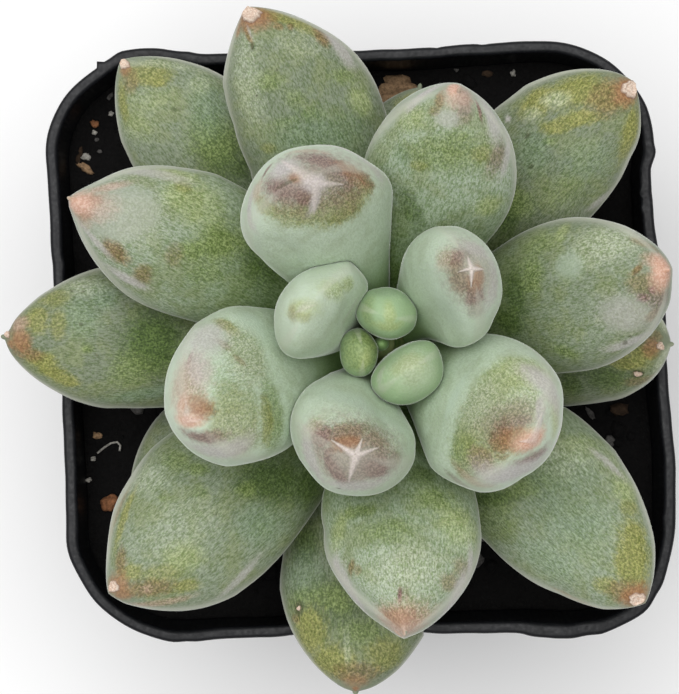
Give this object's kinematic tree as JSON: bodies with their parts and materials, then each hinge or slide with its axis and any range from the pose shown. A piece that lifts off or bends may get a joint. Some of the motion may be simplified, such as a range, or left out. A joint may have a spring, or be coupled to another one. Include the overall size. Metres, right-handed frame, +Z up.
{
  "type": "potted succulent",
  "caption": "Rosette of plump pointed waxy leaves on a short stem, growing in gritty soil in a thin square nursery pot with an upright rim band and drainage holes.",
  "frame": {"origin": "the middle of the pot's underside, on the surface that the pot stands on", "axes": "+Z up out of the pot; X and Y along the pot's sides, with X along the slightly longer pair of rim edges"},
  "size_m": [0.0699, 0.0711, 0.097],
  "materials": {
    "pot": "thin black polypropylene, satin",
    "soil": "dark, loose peat with grit and bark",
    "stem": "soft green, matte, with leaf scars",
    "young_leaf": "smooth yellow-green skin with a thin wax bloom",
    "leaf": "grey-green skin under a matte wax bloom, blushed at the tip"
  },
  "bodies": {
    "root": {"pot": "pot", "soil": "soil", "stem": "stem", "bud": "young_leaf", "leaf_01": "young_leaf", "leaf_02": "young_leaf", "leaf_03": "young_leaf", "leaf_04": "leaf", "leaf_05": "leaf", "leaf_06": "leaf", "leaf_07": "leaf", "leaf_08": "leaf", "leaf_09": "leaf", "leaf_10": "leaf", "leaf_11": "leaf", "leaf_12": "leaf", "leaf_13": "leaf", "leaf_14": "leaf", "leaf_15": "leaf", "leaf_16": "leaf", "leaf_17": "leaf", "leaf_18": "leaf", "leaf_19": "leaf", "leaf_20": "leaf", "leaf_21": "leaf", "leaf_22": "leaf", "leaf_23": "leaf"}
  },
  "joints": []
}
